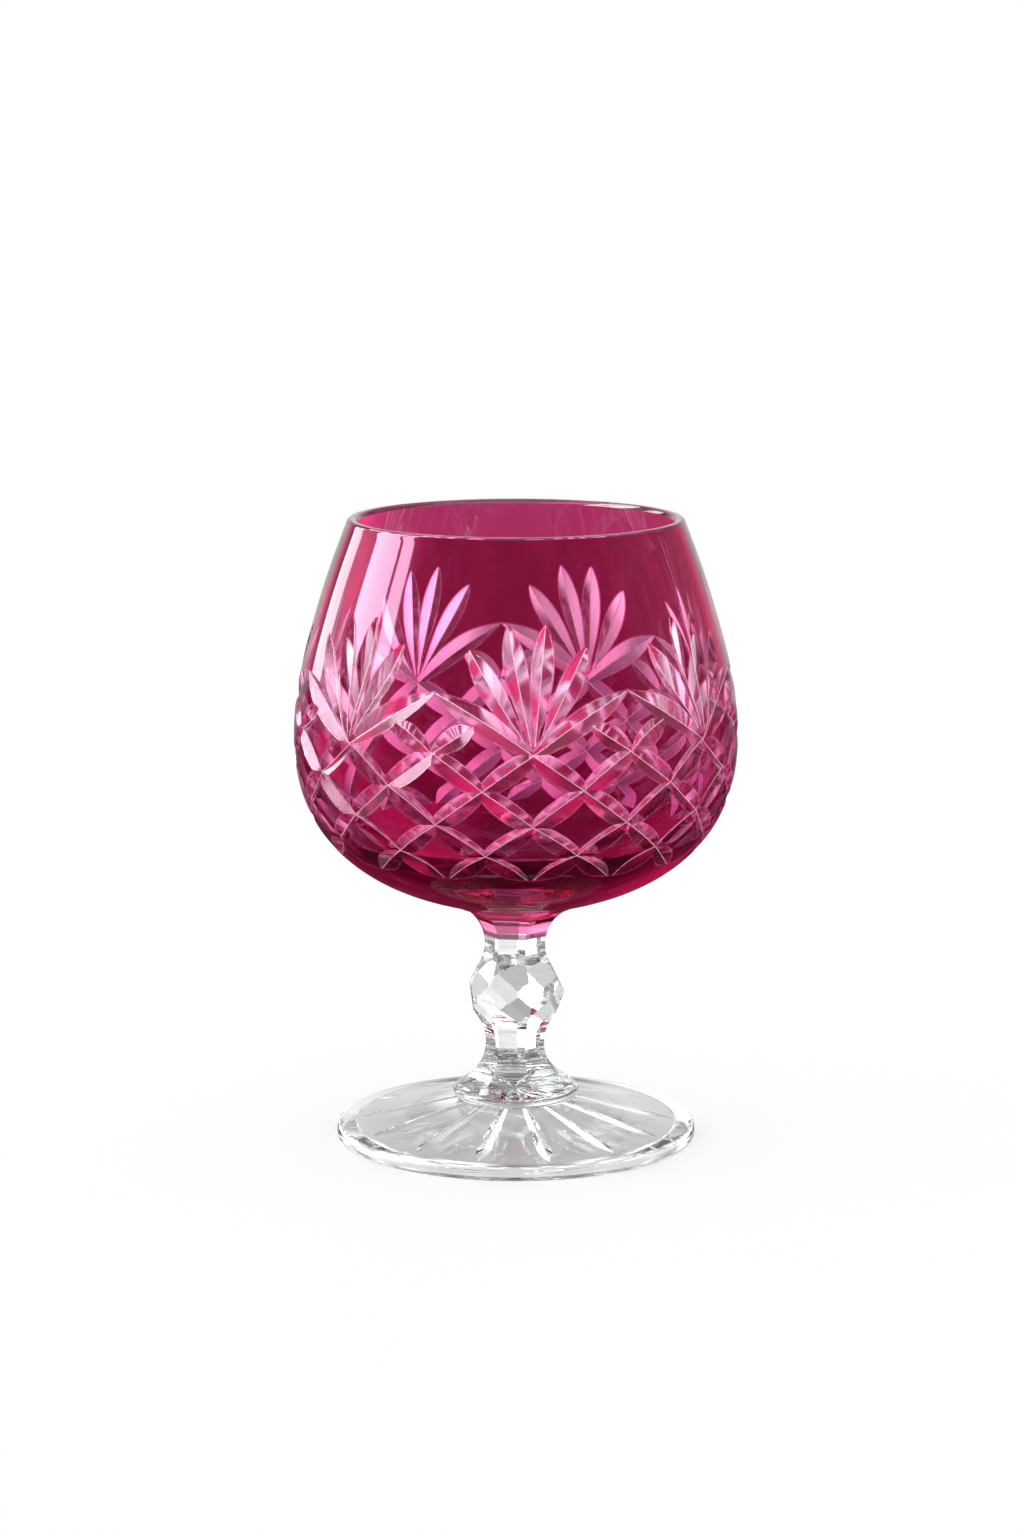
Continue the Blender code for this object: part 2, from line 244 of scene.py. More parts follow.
def finish_normals(ob, smooth_tags, sharp=14.0):
    """Smooth shading with crisp cut edges; faces with a tag in smooth_tags take the normal of the turned profile given for it."""
    me = ob.data
    me.shade_smooth()
    me.set_sharp_from_angle(angle=math.radians(sharp))
    nf, nl, nv = len(me.polygons), len(me.loops), len(me.vertices)
    tag = np.empty(nf, np.int32)
    me.polygons.foreach_get("material_index", tag)
    total = np.empty(nf, np.int32)
    me.polygons.foreach_get("loop_total", total)
    loop_face = np.repeat(np.arange(nf), total)
    loop_vert = np.empty(nl, np.int32)
    me.loops.foreach_get("vertex_index", loop_vert)
    loop_edge = np.empty(nl, np.int32)
    me.loops.foreach_get("edge_index", loop_edge)
    co = np.empty(nv * 3, np.float32)
    me.vertices.foreach_get("co", co)
    co = co.reshape(-1, 3).astype(float) / MM
    # edges between different tags are sharp
    ne = len(me.edges)
    lo, hi = np.full(ne, 99), np.full(ne, -1)
    np.minimum.at(lo, loop_edge, tag[loop_face])
    np.maximum.at(hi, loop_edge, tag[loop_face])
    if "sharp_edge" not in me.attributes:
        me.attributes.new("sharp_edge", "BOOLEAN", "EDGE")
    sharp_flag = np.zeros(ne, bool)
    me.attributes["sharp_edge"].data.foreach_get("value", sharp_flag)
    sharp_flag |= (lo != hi)
    me.attributes["sharp_edge"].data.foreach_set("value", sharp_flag)
    me.update()
    nor = np.empty(nl * 3, np.float32)
    me.corner_normals.foreach_get("vector", nor)
    nor = nor.reshape(-1, 3).astype(float)
    fn = np.empty(nf * 3, np.float32)
    me.polygons.foreach_get("normal", fn)
    fn = fn.reshape(-1, 3)
    for t, (profile, z_lo, z_hi) in smooth_tags.items():
        p = np.array(profile)                      # (z, r), z falling
        d = np.gradient(p, axis=0)
        d /= np.linalg.norm(d, axis=1)[:, None]
        sel = (tag[loop_face] == t)
        z = co[loop_vert, 2]
        sel &= (z > z_lo) & (z < z_hi)
        v = loop_vert[sel]
        r = np.hypot(co[v, 0], co[v, 1])
        nz = np.interp(co[v, 2], p[::-1, 0], d[::-1, 1])
        nr = np.interp(co[v, 2], p[::-1, 0], -d[::-1, 0])
        n = np.stack([nr * co[v, 0] / r, nr * co[v, 1] / r, nz], axis=1)
        n /= np.linalg.norm(n, axis=1)[:, None]
        flip = (n * fn[loop_face[sel]]).sum(1) < 0
        n[flip] *= -1
        nor[sel] = n
    me.normals_split_custom_set(nor.tolist())


# ------------------------------------------------------------------ glass and studio materials
def nodes_of(name):
    m = bpy.data.materials.new(name)
    m.use_nodes = True
    nt = m.node_tree
    nt.nodes.clear()
    out = nt.nodes.new("ShaderNodeOutputMaterial")
    return m, nt, out


def noise(nt, coords, scale, detail=3.0, rough=0.5):
    n = nt.nodes.new("ShaderNodeTexNoise")
    n.inputs["Scale"].default_value = scale
    n.inputs["Detail"].default_value = detail
    n.inputs["Roughness"].default_value = rough
    nt.links.new(coords, n.inputs["Vector"])
    return n.outputs["Fac"]


def ramp(nt, value, lo, hi, out_lo, out_hi, soft=False):
    r = nt.nodes.new("ShaderNodeMapRange")
    r.interpolation_type = "SMOOTHSTEP" if soft else "LINEAR"
    r.inputs["From Min"].default_value, r.inputs["From Max"].default_value = lo, hi
    r.inputs["To Min"].default_value, r.inputs["To Max"].default_value = out_lo, out_hi
    nt.links.new(value, r.inputs["Value"])
    return r.outputs["Result"]


def steps(nt, value, stops):
    """A number that follows stops of (value, number)."""
    lo, hi = stops[0][0], stops[-1][0]
    r = nt.nodes.new("ShaderNodeValToRGB")
    nt.links.new(ramp(nt, value, lo, hi, 0.0, 1.0), r.inputs["Fac"])
    for i, (x, v) in enumerate(stops):
        e = r.color_ramp.elements[i] if i < 2 else r.color_ramp.elements.new(1.0)
        e.position, e.color = (x - lo) / (hi - lo), (v, v, v, 1.0)
    return r.outputs["Color"]


def stretched(nt, coords, scale):
    m = nt.nodes.new("ShaderNodeMapping")
    m.inputs["Scale"].default_value = scale
    nt.links.new(coords, m.inputs["Vector"])
    return m.outputs["Vector"]


def between(nt, fac, a, b):
    """Mixes two colours, each a value or a node's output."""
    m = nt.nodes.new("ShaderNodeMix")
    m.data_type = "RGBA"
    nt.links.new(fac, m.inputs[0])
    for socket, v in ((m.inputs[6], a), (m.inputs[7], b)):
        if isinstance(v, tuple):
            socket.default_value = (*v, 1.0)
        else:
            nt.links.new(v, socket)
    return m.outputs[2]


def glass(name, ior, tint, tint_b, low=None, leaving=None, leaving_low=None, rough=(0.0, 0.0), rough_scale=300.0, wave=0.0, wave_scale=60.0,
          drawn=1.0, gloss=None, clarity=1.0, fall=(0.104, 0.074)):
    """Polished glass: faint streaks in the colour, patches of very fine wear, and slow waviness left by the polishing.

    low is the colour lower down: on the bowl it makes the colour darker towards the bottom, and on the neck it is
    painted shade, dark bands that stand in for the darker ruby of the bowl seen refracted through the neck; fall the
    heights between which it sets in, or stops of it by height; leaving is the colour of light that goes out through the
    surface.
    """
    m, nt, out = nodes_of(name)
    b = nt.nodes.new("ShaderNodeBsdfPrincipled")
    b.inputs["Transmission Weight"].default_value = clarity
    b.inputs["IOR"].default_value = ior
    b.inputs["Metallic"].default_value = 0.0
    b.inputs["Roughness"].default_value = rough[0]
    if gloss:
        b.inputs["Specular Tint"].default_value = (*gloss, 1.0)
    nt.links.new(b.outputs["BSDF"], out.inputs["Surface"])
    coords = nt.nodes.new("ShaderNodeTexCoord").outputs["Object"]
    streak = noise(nt, stretched(nt, coords, (1.0, 1.0, 0.12)), 260.0, 3.0)
    colour = between(nt, ramp(nt, streak, 0.35, 0.65, 0.0, 1.0), tint, tint_b)
    # mask by height: darker towards the bottom of the bowl, or painted bands of shade on the neck
    if low:
        split = nt.nodes.new("ShaderNodeSeparateXYZ")
        nt.links.new(coords, split.inputs["Vector"])
        depth = ramp(nt, split.outputs["Z"], *fall, 0.0, 1.0, True) if len(fall) == 2 else steps(nt, split.outputs["Z"], fall)
        colour = between(nt, depth, colour, low)
    if leaving:
        out_colour = between(nt, depth, leaving, leaving_low) if leaving_low else leaving
        colour = between(nt, nt.nodes.new("ShaderNodeNewGeometry").outputs["Backfacing"], colour, out_colour)
    nt.links.new(colour, b.inputs["Base Color"])
    if rough[1] > rough[0]:
        nt.links.new(ramp(nt, noise(nt, coords, rough_scale, 4.0), 0.45, 0.75, *rough), b.inputs["Roughness"])
    if wave > 0:
        u = nt.nodes.new("ShaderNodeBump")
        u.inputs["Strength"].default_value = wave
        u.inputs["Distance"].default_value = 0.001
        nt.links.new(noise(nt, stretched(nt, coords, (1.0, 1.0, drawn)), wave_scale, 2.0), u.inputs["Height"])
        nt.links.new(u.outputs["Normal"], b.inputs["Normal"])
    return m


# A crossing of the colour layer passes the square root of the product of its two surfaces' colours.
RUBY, RUBY_B, RUBY_LOW = (0.375, 0.0500, 0.160), (0.290, 0.0320, 0.110), (0.220, 0.0105, 0.066)
RUBY_OUT, RUBY_OUT_LOW = (0.210, 0.0025, 0.030), (0.135, 0.0011, 0.0170)
RUBY_JOIN, RUBY_JOIN_B, RUBY_JOIN_OUT = (0.80, 0.30, 0.48), (0.78, 0.28, 0.46), (0.95, 0.80, 0.86)
RUBY_CUT, RUBY_CUT_B = (0.64, 0.14, 0.34), (0.58, 0.11, 0.29)
RUBY_FLUTE, RUBY_FLUTE_B, RUBY_FLUTE_PAINTED_BANDS, RUBY_FLUTE_OUT = (0.95, 0.440, 0.640), (0.91, 0.380, 0.580), (0.012, 0.00005, 0.0008), (0.74, 0.33, 0.47)
CLEAR, CLEAR_B = (0.985, 0.99, 0.99), (0.97, 0.978, 0.98)
BLUSH, BLUSH_B, BLUSH_LOW = (0.40, 0.130, 0.255), (0.48, 0.190, 0.330), (0.40, 0.054, 0.168)
BLUSH_OUT, BLUSH_OUT_LOW = (0.97, 0.88, 0.93), (0.32, 0.11, 0.21)
# painted shade: the clear stem and foot take a grey tint that stands in for the darker surroundings seen through them
STEM_GREY_SHADE, STEM_GREY_SHADE_B = (0.60, 0.605, 0.607), (0.57, 0.576, 0.578)
FOOT_GREY_SHADE, FOOT_GREY_SHADE_B = (0.56, 0.564, 0.564), (0.53, 0.536, 0.538)
IOR = 1.54
ruby_polish = glass("ruby_polished", IOR, RUBY, RUBY_B, RUBY_LOW, RUBY_OUT, RUBY_OUT_LOW, (0.0, 0.012), 220.0, gloss=(1.0, 0.57, 0.92))
ruby_under = glass("ruby_polished_underside", 1.08, RUBY, RUBY_B, RUBY_LOW, RUBY_OUT, RUBY_OUT_LOW, (0.0, 0.012), 220.0, gloss=(0.20, 0.05, 0.09))
ruby_cut = glass("ruby_cut_edge", IOR, RUBY_CUT, RUBY_CUT_B, rough=(0.20, 0.30), rough_scale=500.0, clarity=0.95)
# the neck's dark bands are painted shade: a tint by height that stands in for the darker ruby of the bowl seen
# refracted through the neck
ruby_flute = glass("ruby_flute", 1.22, RUBY_FLUTE, RUBY_FLUTE_B, RUBY_FLUTE_PAINTED_BANDS, RUBY_FLUTE_OUT, None, (0.0, 0.012), 500.0,
                   fall=[(0.0415, 0.93), (0.0429, 0.93), (0.0433, 0.42), (0.0448, 0.38), (0.0451, 0.95), (0.0457, 0.9), (0.0461, 0.05), (0.0480, 0.0)])
ruby_join = glass("ruby_fused_side", 1.0, RUBY_JOIN, RUBY_JOIN_B, None, RUBY_JOIN_OUT)
bowl_polish = glass("bowl_crystal_polished", IOR, CLEAR, CLEAR_B, rough=(0.0, 0.01), rough_scale=200.0)
bowl_cut = glass("bowl_crystal_cut_face", IOR, BLUSH, BLUSH_B, BLUSH_LOW, BLUSH_OUT, BLUSH_OUT_LOW, (0.10, 0.16), 300.0, gloss=(1.0, 0.60, 0.85), fall=(0.103, 0.087))
bowl_line = glass("bowl_crystal_cut_line", IOR, (1.0, 0.78, 0.88), (1.0, 0.86, 0.93), rough=(0.25, 0.40), rough_scale=500.0, clarity=0.68)
bowl_join = glass("bowl_crystal_fused_side", 1.0, CLEAR, CLEAR_B)
stem_polish = glass("stem_crystal_polished", IOR, STEM_GREY_SHADE, STEM_GREY_SHADE_B, rough=(0.0, 0.012), rough_scale=300.0, wave=0.01, wave_scale=90.0)
stem_cut = glass("stem_crystal_cut_face", IOR, STEM_GREY_SHADE, STEM_GREY_SHADE_B, rough=(0.02, 0.05), rough_scale=500.0, wave=0.06, wave_scale=200.0, drawn=3.0)
stem_join = glass("stem_crystal_fused_side", 1.0, CLEAR, CLEAR_B)
stem_head = glass("stem_crystal_under_bowl", 1.0, (0.80, 0.17, 0.36), (0.77, 0.14, 0.32))
foot_polish = glass("foot_crystal_polished", IOR, FOOT_GREY_SHADE, FOOT_GREY_SHADE_B, rough=(0.0, 0.012), rough_scale=260.0, wave=0.012, wave_scale=80.0)
foot_cut = glass("foot_crystal_cut_face", IOR, FOOT_GREY_SHADE, FOOT_GREY_SHADE_B, rough=(0.0, 0.02), rough_scale=500.0, wave=0.01, wave_scale=160.0)
# painted shade: the foot's edge is tinted less grey than the rest of the foot, and its fused side under the stem a
# darker grey that dims what is seen through it
foot_edge = glass("foot_crystal_edge", IOR, (0.93, 0.935, 0.935), (0.90, 0.906, 0.908), rough=(0.0, 0.012), rough_scale=260.0, wave=0.012, wave_scale=80.0)
foot_join = glass("foot_crystal_fused_side", 1.0, (0.55, 0.57, 0.57), (0.52, 0.54, 0.54))


def dress(ob, mats):
    slots = ob.data.materials
    while len(slots) < len(mats):
        slots.append(None)
    for i, m in enumerate(mats):
        slots[i] = m


POLISH, JOINT, CUT, INSIDE, LINE, BELOW = 0, 1, 2, 3, 4, 5


# ------------------------------------------------------------------ cut pattern of the bowl
def lattice_line(column, hand):
    """A line across the bowl, cut as one lens between each two crossings; even columns end in a leaf beside the fan."""
    border = column % 2 == 0
    top, bottom = (2.06 if border else 1.0), -4.0
    level = np.linspace(top, bottom, 150 if border else 124)
    angle = FAN_ANGLE + 2 * LEVEL_STEP * column - hand * LEVEL_STEP * level
    p, n = bowl_points(angle, level_z(level))
    lens = np.abs(np.sin(np.pi * level)) ** 0.55
    depth = GROOVE_DEPTH * (GROOVE_WAIST + (1 - GROOVE_WAIST) * lens)
    if border:
        t = np.clip(level / top, 0.0, 1.0)
        blade = GROOVE_WAIST * GROOVE_DEPTH + (BORDER_DEPTH - GROOVE_WAIST * GROOVE_DEPTH) * taper(t / 0.45)
        depth = np.where(level > 0, blade * taper((1.0 - t) / 0.5), depth)
    else:
        depth = np.where(level > 0, GROOVE_DEPTH * np.maximum(GROOVE_WAIST, lens) * taper((top - level) / 0.55), depth)
    depth *= taper((level - bottom) / 0.55)
    return p, n, depth - 0.03


def leaf(fan, angle_tip, z_tip):
    """One leaf of a fan: narrow at the fan's foot, broadest towards its pointed tip."""
    if fan in TURNED_FANS:
        angle_tip = -angle_tip
    z_base = float(level_z(0.0)) + 0.8
    t = np.linspace(0.0, 1.0, 56)
    p, n = bowl_points(FAN_ANGLE + FAN_STEP * fan + angle_tip * (0.04 + 0.96 * t), z_base + (z_tip - z_base) * t)
    blade = np.maximum(np.sin(np.pi * t ** 1.55), 0.0) ** 0.72
    return p, n, LEAF_DEPTH * np.maximum(blade, 0.25 * taper(t / 0.12) * taper((1 - t) / 0.5)) - 0.03


def bowl_cutters():
    made = [grooves("cut_lattice", [lattice_line(c, hand) for c in range(2 * FANS)], CUT, LINE) for hand in (1, -1)]
    made += [grooves("cut_leaf", [leaf(f, a, z) for f in range(FANS)], CUT, LINE) for a, z in LEAF_TIPS]
    return made


def flute_corner(z, dims):
    z0, corner, radius, _ = dims
    return corner + radius - np.sqrt(np.maximum(radius ** 2 - (np.asarray(z, float) - z0) ** 2, 0.0))


def flute_ring(name, dims, side, z_far, z_knop, tag=CUT):
    """A ring with flat inner sides, hollow along the stem, then straight onto the knop below (side -1) or above it (side 1)."""
    z0, corner, radius, slope = dims
    a = np.linspace(math.asin((z_far - z0) / radius), side * math.atan(slope), 64)
    inner = [(float(corner + radius * (1 - math.cos(x))), float(z0 + radius * math.sin(x))) for x in a]
    inner.append((inner[-1][0] + slope * abs(z_knop - inner[-1][1]), z_knop))
    if side < 0:
        inner.reverse()
    prof = [(26.0, inner[-1][1]), (26.0, inner[0][1])] + inner
    return turned(name, prof, [tag] * len(prof), FLUTES, True, FLUTE_ANGLE)


def block(name, angle, r, z, tilt, size, tag=CUT):
    """A block whose inner face passes through (r, z) at an angle round the stem, leaning up by tilt."""
    bm = bmesh.new()
    bmesh.ops.create_cube(bm, size=1.0)
    bmesh.ops.scale(bm, vec=[v * MM for v in size], verts=bm.verts)
    bmesh.ops.translate(bm, vec=(0.0, -0.5 * size[1] * MM, 0.0), verts=bm.verts)
    return put(name, bm, angle, r, z, tilt, tag)


def put(name, bm, angle, r, z, tilt, tag):
    me = bpy.data.meshes.new(name)
    a, t = math.radians(angle), math.radians(tilt)
    turn = Matrix.Translation((r * math.sin(a) * MM, -r * math.cos(a) * MM, z * MM)) @ Matrix.Rotation(a, 4, "Z") @ Matrix.Rotation(-t, 4, "X")
    bmesh.ops.transform(bm, matrix=turn, verts=bm.verts)
    bm.to_mesh(me)
    bm.free()
    me.polygons.foreach_set("material_index", [tag] * len(me.polygons))
    ob = bpy.data.objects.new(name, me)
    scene.collection.objects.link(ob)
    return ob


# ------------------------------------------------------------------ bowl
def tagged(*runs):
    """Joins runs of (points, tag) into a profile and the tags of its steps."""
    prof, tags = [], []
    for pts, tag in runs:
        prof += list(pts)
        tags += [tag] * len(pts)
    return prof, tags


outer_all = smooth(BOWL, 112)
outer = outer_all[outer_all[:, 0] < 126.4]
lo_z = 126.8
rim_r = float(bowl_r(lo_z))
casing_side = offset(OUTER, lambda z: np.full_like(z, CASING))
lining_side = offset(OUTER, lambda z: np.full_like(z, CASING + JOIN))
cavity_side = offset(OUTER, wall_depth)


def at(side, z):
    return float(np.interp(z, side[::-1, 0], side[::-1, 1]))


def side_points(side, n, z_hi, z_lo=-1.0):
    idx = np.linspace(0, len(side) - 1, n).round().astype(int)
    return [(float(r), float(z)) for z, r in side[idx] if z_lo <= z <= z_hi]


rim_edge = [(33.36, 127.575), (33.56, 127.53), (33.76, 127.42), (33.93, 127.25), (34.05, 127.02), (rim_r, lo_z)]
neck_z = np.linspace(47.9, NECK_END_Z, 14)
neck_out = [(float(r) + 0.35, float(z)) for r, z in zip(flute_corner(neck_z, UPPER_FLUTE), neck_z)]
skin_z = np.linspace(NECK_END_Z, 47.4, 12)
SKIN = math.cos(math.pi / FLUTES)
skin = [(float(r) * SKIN - CASING, float(z)) for r, z in zip(flute_corner(skin_z, UPPER_FLUTE), skin_z)] + [(10.3, 48.2), (11.4, 48.72)]
inner = side_points(casing_side, 90, 126.4)[::-1]

prof, tags = tagged((rim_edge, POLISH), (rz(outer[outer[:, 0] > UNDERSIDE_Z]), POLISH), (rz(outer[outer[:, 0] <= UNDERSIDE_Z]), BELOW), (neck_out[:-1], POLISH), (neck_out[-1:], JOINT),
                    (skin, JOINT), (inner, JOINT), ([(33.5, 127.2)], JOINT))
ruby = turned("ruby_casing", prof, tags, N_BOWL, True)

JOIN_Z = 48.72
lining_skin = side_points(lining_side, 90, 126.4)
cavity_pts = [(r, z) for r, z in side_points(cavity_side, 84, 126.3) if r > 11.5]
floor_pts = rz(smooth([(CAVITY_FLOOR_Z, 0.0), (CAVITY_FLOOR_Z + 0.12, 4.5), (cavity_pts[-1][1], cavity_pts[-1][0])], 9))[:-1]
rim_top = [(33.0, 127.6), (32.66, 127.56), (32.36, 127.44), (32.14, 127.25), (32.02, 127.0), (at(cavity_side, 126.7), 126.7)]
prof, tags = tagged((floor_pts, INSIDE), (cavity_pts[::-1], INSIDE), (rim_top[::-1], INSIDE), ([(33.36 - JOIN, 127.575)], JOINT),
                    ([(33.5 - JOIN, 127.2)], JOINT), (lining_skin, JOINT), ([(11.4 - JOIN, JOIN_Z + JOIN), (0.0, JOIN_Z + JOIN)], JOINT))
lining = turned("clear_bowl_lining", prof, tags[:-1], N_BOWL)

cutters = bowl_cutters()
upper_ring = flute_ring("cut_upper_flutes", UPPER_FLUTE, -1, 48.2, 28.6, INSIDE)
carve(ruby, [upper_ring] + cutters)
carve(lining, cutters)
discard(cutters)
dress(ruby, [ruby_polish, ruby_join, ruby_cut, ruby_flute, ruby_cut, ruby_under])
dress(lining, [bowl_polish, bowl_join, bowl_cut, bowl_polish, bowl_line])
finish_normals(ruby, {POLISH: (OUTER, 49.5, 126.2), BELOW: (OUTER, 49.5, 126.2), JOINT: (casing_side, 50.0, 126.2)})
finish_normals(lining, {INSIDE: (cavity_side, 58.0, 126.0), JOINT: (lining_side, 50.0, 126.2)})

# ------------------------------------------------------------------ stem
head = [(r - JOIN, z) for r, z in skin][::-1]
head[0] = (11.4 - 2 * JOIN, JOIN_Z)
head[-1] = (head[-1][0], NECK_END_Z - JOIN)
upper_blank = [(neck_out[-1][0], NECK_END_Z - JOIN), (7.0, 41.2), (6.95, 40.2), (7.3, 38.4)]
knop = rz(smooth(KNOP, 56))
lower_blank = [(7.3, 22.4), (6.8, 19.4), (7.4, 16.0), (9.0, 13.4)] + rz(smooth([(12.6, 9.75), (11.3, 11.0), (10.35, 12.0)], 5))
b = np.radians(np.arange(78, -79, -6))
bead = [(float(12.0 + 1.0 * np.cos(x)), float(9.25 + 1.0 * np.sin(x))) for x in b]
prof, tags = tagged(([(0.0, JOIN_Z)], LINE), (head, JOINT), (upper_blank, POLISH), (knop, POLISH), (lower_blank, POLISH), (bead, POLISH),
                    ([(12.2, 8.12)], POLISH), ([(SEAT_R - 0.5, SEAT_Z + 0.3)], JOINT), ([(SEAT_R - 0.5, SEAT_Z + JOIN), (0.0, SEAT_Z + JOIN)], JOINT))
stem = turned("fluted_stem", prof, tags[:-1], N_STEM)
lower_ring = flute_ring("cut_lower_flutes", LOWER_FLUTE, 1, 10.6, 30.3)
facets = [block("cut_knop", FLUTE_ANGLE + i * 360.0 / FLUTES, KNOP_FLAT, KNOP_Z, KNOP_TILT, (14, 6, 14)) for i in range(FLUTES)]
carve(stem, [upper_ring, lower_ring, *facets])
discard([upper_ring, lower_ring, *facets])
dress(stem, [stem_polish, stem_join, stem_cut, stem_cut, stem_head])
finish_normals(stem, {}, 9.0)

# ------------------------------------------------------------------ foot
foot_top = rz(smooth([(8.25, SEAT_R), (6.9, 18.5), (4.7, 27.0), (2.75, 35.6)], 30))
edge = [(36.05, 2.62), (36.42, 2.42), (36.68, 2.08), (36.8, 1.6), (36.8, 0.5), (36.76, 0.28), (36.66, 0.12), (36.5, 0.02), (36.2, 0.0)]
under = [(REST_R, 0.0)] + rz(smooth(UNDER[1:], 30))[:-1] + [(0.0, UNDER[-1][0])]
prof, tags = tagged(([(0.0, SEAT_Z), (SEAT_R - 0.5 + JOIN, SEAT_Z)], JOINT), ([(SEAT_R - 0.5 + JOIN, SEAT_Z + 0.3)], POLISH), (foot_top, POLISH), (edge, INSIDE), (under, POLISH))
foot = turned("star_cut_foot", prof, tags[:-1], N_FOOT)
under_z = np.array(under)


def ray(i):
    a = math.radians(RAY_ANGLE + i * 360.0 / RAYS)
    t = np.linspace(0.0, 1.0, 40)
    r = 1.0 + (RAY_R - 1.0) * t
    z = np.interp(r, under_z[::-1, 0], under_z[::-1, 1])
    depth = RAY_DEPTH * t ** 0.6 * taper((1.0 - t) / 0.2)
    p = np.stack([r * math.sin(a), -r * math.cos(a), z], axis=1)
    return p, np.tile([0.0, 0.0, -1.0], (len(t), 1)), depth - 0.04


star = [grooves("cut_star", [ray(i) for i in range(k, RAYS, 2)], CUT, CUT, tip=0.12) for k in (0, 1)]
carve(foot, star)
discard(star)
dress(foot, [foot_polish, foot_join, foot_cut, foot_edge])
finish_normals(foot, {}, 9.0)

for ob, node, name in ((ruby, "bowl_casing", "ruby_glass"), (lining, "bowl_lining", "bowl_crystal"), (stem, "stem", "stem_crystal"), (foot, "foot", "foot_crystal")):
    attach(ob, "root")
    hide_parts(node)
    if "bowl" in node:
        ob.visible_diffuse = ob.visible_shadow = False
    print("PIECE", ob.name, len(ob.data.polygons), len(ob.data.vertices))

# ------------------------------------------------------------------ studio
floor_mat, nt, out = nodes_of("studio_floor")
fb = nt.nodes.new("ShaderNodeBsdfPrincipled")
fb.inputs["Roughness"].default_value = 0.75
fb.inputs["Specular IOR Level"].default_value = 0.1
mixer = nt.nodes.new("ShaderNodeMix")
mixer.data_type = "RGBA"
mixer.inputs[6].default_value = (0.93, 0.93, 0.932, 1.0)
mixer.inputs[7].default_value = (0.95, 0.95, 0.95, 1.0)
nt.links.new(noise(nt, nt.nodes.new("ShaderNodeTexCoord").outputs["Object"], 9.0, 3.0), mixer.inputs[0])
nt.links.new(mixer.outputs[2], fb.inputs["Base Color"])
nt.links.new(fb.outputs["BSDF"], out.inputs["Surface"])
bm = bmesh.new()
bmesh.ops.create_grid(bm, x_segments=2, y_segments=2, size=12.0)
me = bpy.data.meshes.new("studio_floor")
bm.to_mesh(me)
bm.free()
floor = bpy.data.objects.new("studio_floor", me)
scene.collection.objects.link(floor)
floor.location.z = -0.00003
floor.data.materials.append(floor_mat)
floor.visible_glossy = floor.visible_transmission = False

world = bpy.data.worlds.new("studio")
scene.world = world
world.use_nodes = True
nt = world.node_tree
nt.nodes.clear()
wout = nt.nodes.new("ShaderNodeOutputWorld")
bg = nt.nodes.new("ShaderNodeBackground")
bg.inputs["Color"].default_value = (1.0, 1.0, 1.0, 1.0)
nt.links.new(bg.outputs["Background"], wout.inputs["Surface"])
xyz = nt.nodes.new("ShaderNodeSeparateXYZ")
nt.links.new(nt.nodes.new("ShaderNodeTexCoord").outputs["Generated"], xyz.inputs["Vector"])


def math_node(op, a, b):
    n = nt.nodes.new("ShaderNodeMath")
    n.operation = op
    for i, v in enumerate((a, b)):
        if isinstance(v, (int, float)):
            n.inputs[i].default_value = v
        else:
            nt.links.new(v, n.inputs[i])
    return n.outputs[0]


X, Y, Z = (xyz.outputs[k] for k in "XYZ")
path = nt.nodes.new("ShaderNodeLightPath")
azimuth = math_node("ARCTAN2", X, math_node("MULTIPLY", Y, -1.0))      # 0 towards the camera, positive towards +X


def add(*values):
    total = values[0]
    for v in values[1:]:
        total = math_node("ADD", total, v)
    return total


def times(*values):
    total = values[0]
    for v in values[1:]:
        total = math_node("MULTIPLY", total, v)
    return total


def window(lo, hi, z_lo, gain, soft=1.2):
    """A tall window between two azimuths in degrees, from sine of elevation z_lo upwards."""
    lo, hi, soft = math.radians(lo), math.radians(hi), math.radians(soft)
    return times(ramp(nt, azimuth, lo - soft, lo, 0.0, 1.0, True), ramp(nt, azimuth, hi, hi + soft, 1.0, 0.0, True),
                 ramp(nt, Z, z_lo - 0.05, z_lo + 0.03, 0.0, 1.0, True), ramp(nt, Z, 0.75, 0.95, 1.0, 0.0, True), gain)


WHITE, ROOM = 1.0, 1.06                           # the backdrop as it is photographed, and the light on the floor
# what the polished outside mirrors: dark cards low round the camera, a dim ceiling, the backdrop at a grazing angle, tall windows on the left, a faint sheet on the right
mirrored = add(ramp(nt, Z, 0.15, 0.5, 0.02, 0.12, True), ramp(nt, Z, 0.6, 0.75, 0.0, 1.2, True),
               times(ramp(nt, Y, 0.74, 0.98, 0.0, 0.88, True), ramp(nt, Z, -0.25, 0.0, 0.0, 1.0, True)),
               window(-140, -128, 0.0, 5.6), window(-109, -88, 0.06, 12.5), window(-84.5, -76.5, 0.08, 12.5), window(-126, -78, 0.0, 0.8, 10.0),
               window(75, 135, 0.0, 0.2, 16.0))
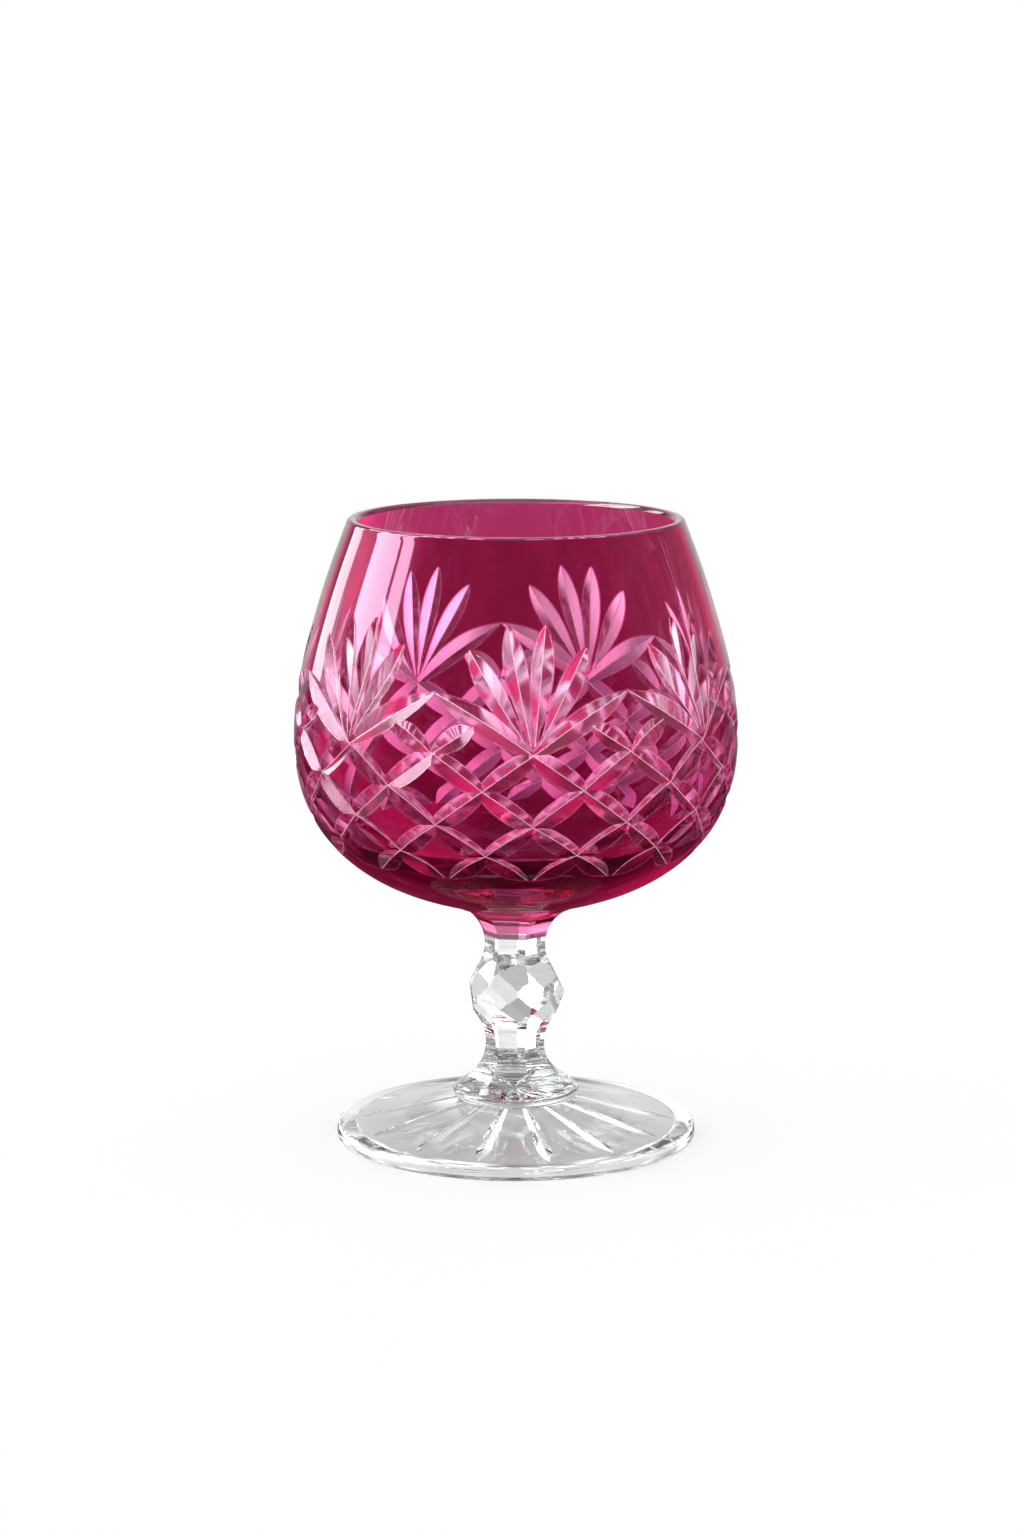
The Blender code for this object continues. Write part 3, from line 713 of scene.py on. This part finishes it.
# what is seen through the glass: white panels all round, bright to both sides of the middle and more so on the left, in bands by height
eight = math_node("MULTIPLY", azimuth, 8.0)
off_middle = math_node("MULTIPLY", math_node("SUBTRACT", 1.0, math_node("COSINE", eight, 0.0)), 0.5)
panels = add(1.0, times(off_middle, add(1.6, times(math_node("SINE", eight, 0.0), 1.1))))
bands = nt.nodes.new("ShaderNodeValToRGB")
nt.links.new(ramp(nt, Z, -1.0, 1.0, 0.0, 1.0), bands.inputs["Fac"])
stops = [(-1.0, 0.5), (-0.8, 0.65), (-0.7, 1.0), (-0.62, 0.65), (-0.55, 0.75), (-0.42, 0.88), (-0.35, 0.9), (-0.31, 0.85), (-0.26, 1.0), (0.06, 1.0),
         (0.12, 0.8), (0.18, 0.8), (0.24, 1.05), (0.32, 1.05), (0.4, 0.8), (0.5, 0.95), (1.0, 0.95)]
for i, (z, v) in enumerate(stops):
    e = bands.color_ramp.elements[i] if i < 2 else bands.color_ramp.elements.new(1.0)
    e.position, e.color = 0.5 + 0.5 * z, (v, v, v, 1.0)
left_panel = times(ramp(nt, azimuth, math.radians(-178), math.radians(-171), 0.0, 1.0, True), ramp(nt, azimuth, math.radians(-158), math.radians(-146), 1.0, 0.0, True))
through = times(add(panels, times(left_panel, 0.9)), bands.outputs["Color"])
reflected = ramp(nt, path.outputs["Glossy Depth"], 0.0, 1.0, 0.0, 1.0)
low = ramp(nt, Z, -0.35, -0.1, 0.5, 0.0, True)
through = times(through, math_node("SUBTRACT", 1.0, times(reflected, low)))
level = add(ROOM, times(path.outputs["Is Camera Ray"], WHITE - ROOM))
for kind, value in (("Is Glossy Ray", mirrored), ("Is Transmission Ray", through)):
    flag = path.outputs[kind]
    level = add(times(level, math_node("SUBTRACT", 1.0, flag)), times(value, flag))
nt.links.new(level, bg.inputs["Strength"])

# ------------------------------------------------------------------ camera and render limits
cam = bpy.data.cameras.new("camera")
cam_ob = bpy.data.objects.new("camera", cam)
scene.collection.objects.link(cam_ob)
cam.lens, cam.sensor_width, cam.sensor_fit = 92.8, 36.0, "AUTO"
cam_ob.location = (-0.0008, -0.792, 0.222)
cam_ob.rotation_euler = (math.radians(90.0 - 10.42), 0.0, 0.0)
cam.clip_end = 100.0
scene.camera = cam_ob
scene.view_settings.view_transform = "Standard"
scene.view_settings.look = "None"
c = scene.cycles
c.max_bounces = c.transmission_bounces = 48
c.glossy_bounces = 24
c.diffuse_bounces = 4
c.transparent_max_bounces = 16
c.caustics_reflective = c.caustics_refractive = True
c.film_exposure = 1.0
c.blur_glossy = 0.0
c.sample_clamp_indirect = 12.0
